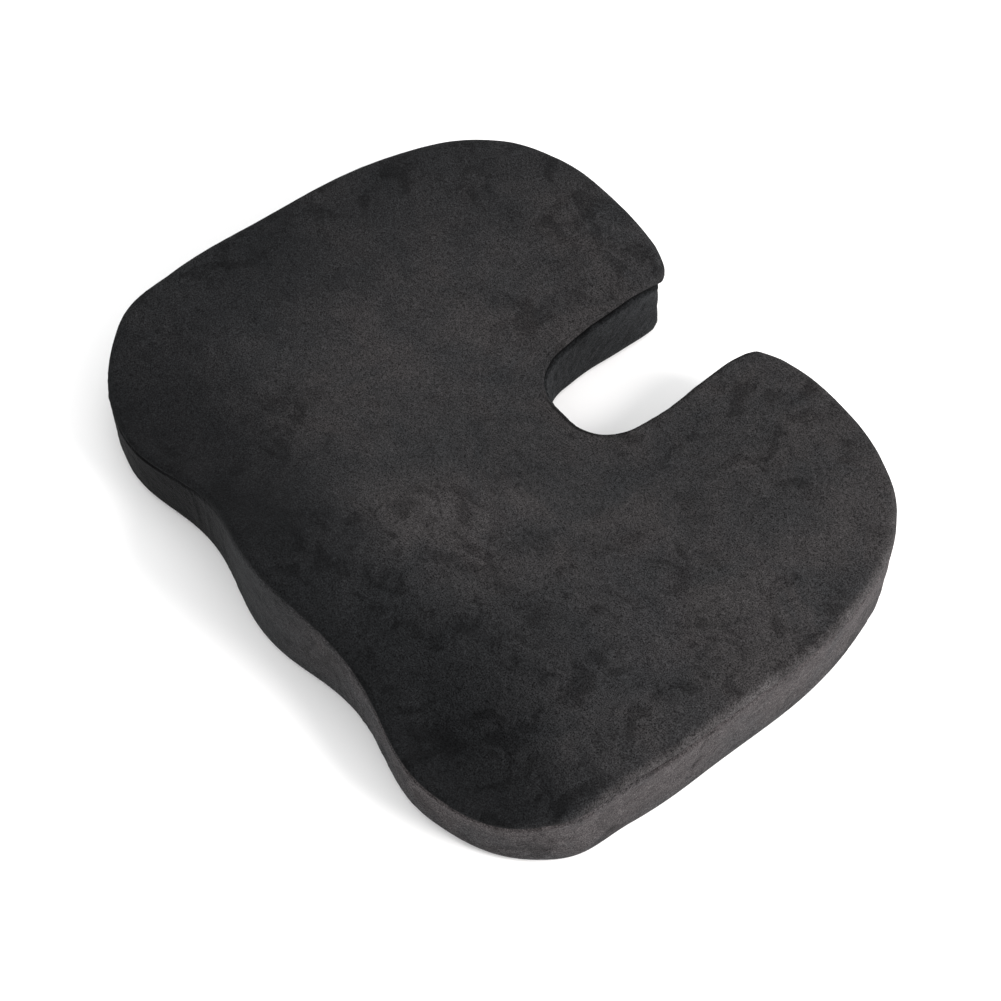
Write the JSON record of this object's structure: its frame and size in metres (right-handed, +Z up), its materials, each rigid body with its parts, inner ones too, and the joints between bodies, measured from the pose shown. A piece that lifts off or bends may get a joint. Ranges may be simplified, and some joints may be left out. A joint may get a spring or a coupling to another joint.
{
  "type": "seat cushion",
  "caption": "U-shaped foam seat cushion with a tailbone slot open at the back, two thigh troughs with a pommel between them, and a sewn velour cover with a zip underneath.",
  "frame": {"origin": "middle of the underside, in the plane that the cushion rests on", "axes": "+X across the width, to the sitter's right when facing the slot; +Y back to the open end of the tailbone slot; +Z up"},
  "size_m": [0.4504, 0.349, 0.0793],
  "materials": {
    "foam": "open-cell cream memory foam, matt",
    "velour": "black short-pile velour with a soft nap",
    "grip_fabric": "black woven polyester with raised rubber grip dots",
    "zip_tape": "black woven polyester tape",
    "zip_coil": "black nylon monofilament",
    "black_metal": "black lacquered zinc die casting, worn at the edges"
  },
  "bodies": {
    "cushion": {"foam_core": "foam", "cover_top_panel": "velour", "cover_outer_band": "velour", "cover_slot_band": "velour", "cover_bottom_front": "grip_fabric", "cover_bottom_rear": "grip_fabric", "zip_tape_front": "zip_tape", "zip_tape_rear": "zip_tape", "zip_coil_front": "zip_coil", "zip_coil_rear": "zip_coil", "zip_bottom_stop": "black_metal", "zip_top_stop_front": "black_metal", "zip_top_stop_rear": "black_metal"},
    "slider": {"zip_slider": "black_metal"},
    "pull": {"zip_pull": "black_metal"}
  },
  "joints": [
    {"name": "zip_slide", "type": "slide", "parent": "cushion", "child": "slider", "axis": [-1, 0, 0], "range_m": [0, 0.352]},
    {"name": "pull_hinge", "type": "hinge", "parent": "slider", "child": "pull", "pos_m": [0.176, -0.04, 0.0017], "axis": [0, -1, 0], "range_deg": [0, 180]}
  ]
}
